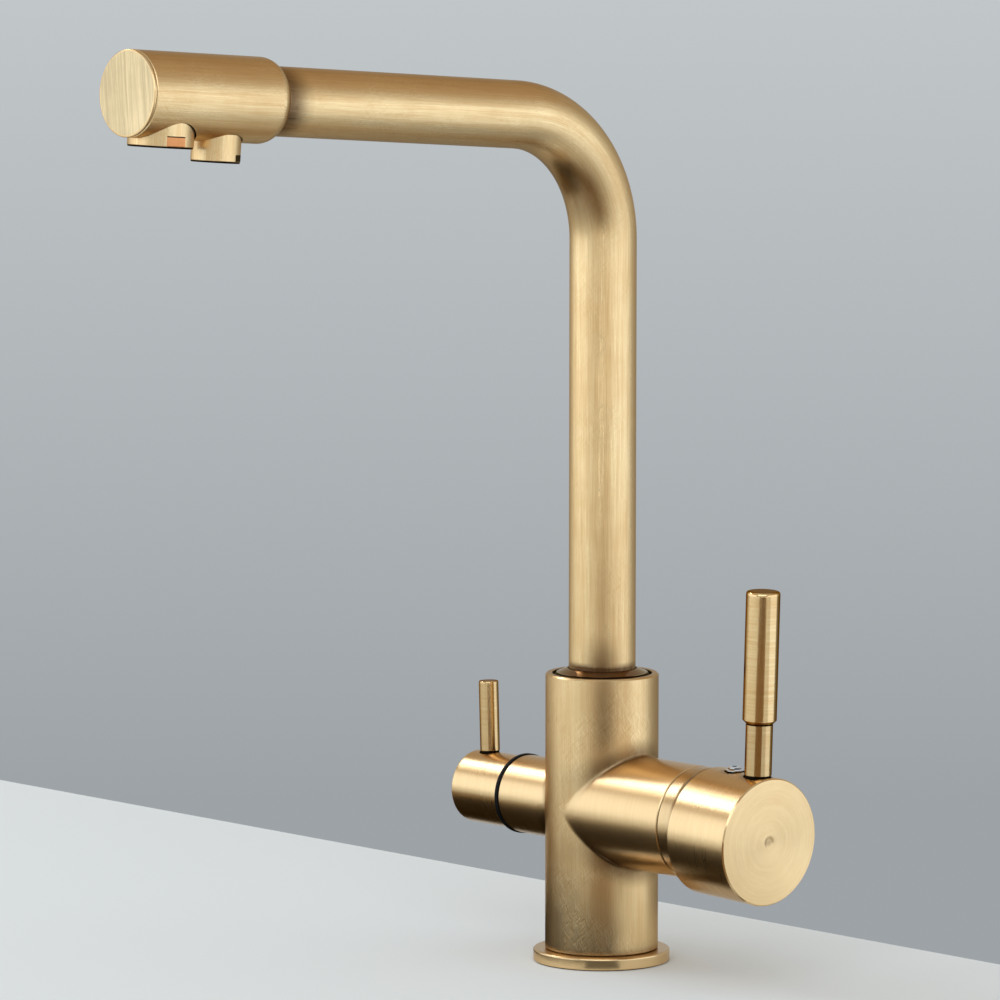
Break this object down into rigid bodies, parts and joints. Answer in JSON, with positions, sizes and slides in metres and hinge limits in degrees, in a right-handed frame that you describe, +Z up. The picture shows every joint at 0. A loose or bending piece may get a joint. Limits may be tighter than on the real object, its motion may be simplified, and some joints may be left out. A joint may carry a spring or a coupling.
{
  "type": "three way kitchen tap",
  "caption": "Deck mounted kitchen mixer tap with a high swivel spout, a side mixer lever and a separate lever and outlet for filtered water.",
  "frame": {"origin": "on the deck plane, on the column's axis", "axes": "+Z up along the column, +X towards the mixer lever, -Y the way the spout reaches"},
  "size_m": [0.1647, 0.2573, 0.4062],
  "materials": {
    "brushed_gold": "brushed",
    "polished_gold": "polished",
    "raw_brass": "machined",
    "steel": "machined",
    "chrome": "polished",
    "black_rubber": "matt",
    "black_plastic": "satin",
    "grey_plastic": "moulded",
    "white_plastic": "moulded",
    "ceramic": "lapped",
    "tube_plastic": "extruded"
  },
  "bodies": {
    "root": {"deck_gasket": "black_rubber", "base_flange": "brushed_gold", "body_casting": "brushed_gold", "threaded_shank": "raw_brass", "clamp_rubber_washer": "black_rubber", "clamp_steel_washer": "steel", "clamp_nut": "raw_brass", "spout_wear_ring": "white_plastic", "cartridge_base": "grey_plastic", "cartridge_seals": "black_rubber", "fixed_ceramic_disc": "ceramic", "cartridge_shell": "grey_plastic", "cartridge_nut": "raw_brass", "dome_ring": "brushed_gold", "filter_inlet_seal": "black_rubber", "filter_fixed_disc": "ceramic", "filter_valve_body": "raw_brass", "filter_gap_ring": "black_plastic"},
    "spout": {"spout_pipe": "brushed_gold", "spout_collar": "polished_gold", "spout_spigot": "raw_brass", "spigot_orings": "black_rubber", "spout_snap_ring": "steel", "spout_head": "brushed_gold", "head_end_cap": "brushed_gold", "head_grub_screw": "steel", "head_seal": "black_rubber", "inner_filter_tube": "tube_plastic", "tube_nipple": "raw_brass", "nipple_oring": "black_rubber", "filter_outlet_elbow": "white_plastic", "main_aerator_housing": "brushed_gold", "main_aerator_insert": "grey_plastic", "main_aerator_gasket": "black_rubber", "filter_nozzle_housing": "brushed_gold", "filter_nozzle_insert": "white_plastic", "filter_nozzle_gasket": "black_rubber"},
    "mixer_rotor": {"cartridge_turret": "white_plastic", "turret_pin": "steel"},
    "mixing_disc": {"disc_carrier": "white_plastic", "moving_ceramic_disc": "ceramic"},
    "mixer_handle": {"lever_spindle": "raw_brass", "mixer_barrel": "brushed_gold", "mixer_lever_rod": "brushed_gold", "mixer_lever_grip": "brushed_gold", "mixer_grub_screw": "steel", "indicator_button": "chrome"},
    "filter_handle": {"filter_spindle": "raw_brass", "filter_moving_disc": "ceramic", "filter_barrel": "brushed_gold", "filter_lever_rod": "brushed_gold", "filter_grub_screw": "steel", "filter_spindle_oring": "black_rubber", "filter_spindle_clip": "steel"}
  },
  "joints": [
    {"name": "spout_swivel", "type": "hinge", "parent": "root", "child": "spout", "pos_m": [0, 0, 0.1], "axis": [0, 0, 1], "range_deg": [-180, 180]},
    {"name": "mixer_temperature", "type": "hinge", "parent": "root", "child": "mixer_rotor", "pos_m": [0.055, 0, 0.0591], "axis": [1, 0, 0], "range_deg": [-45, 45]},
    {"name": "mixer_flow", "type": "hinge", "parent": "mixer_rotor", "child": "mixer_handle", "pos_m": [0.055, 0, 0.0591], "axis": [0, 1, 0], "range_deg": [0, 25]},
    {"name": "mixer_disc_slide", "type": "slide", "parent": "mixer_rotor", "child": "mixing_disc", "axis": [0, 0, 1], "range_m": [0, 0.00545]},
    {"name": "filter_turn", "type": "hinge", "parent": "root", "child": "filter_handle", "pos_m": [-0.05, 0, 0.0591], "axis": [1, 0, 0], "range_deg": [0, 90]}
  ],
  "couplings": [
    {"joint": "mixer_disc_slide", "follows": "mixer_flow", "m_per_rad": 0.012486}
  ]
}
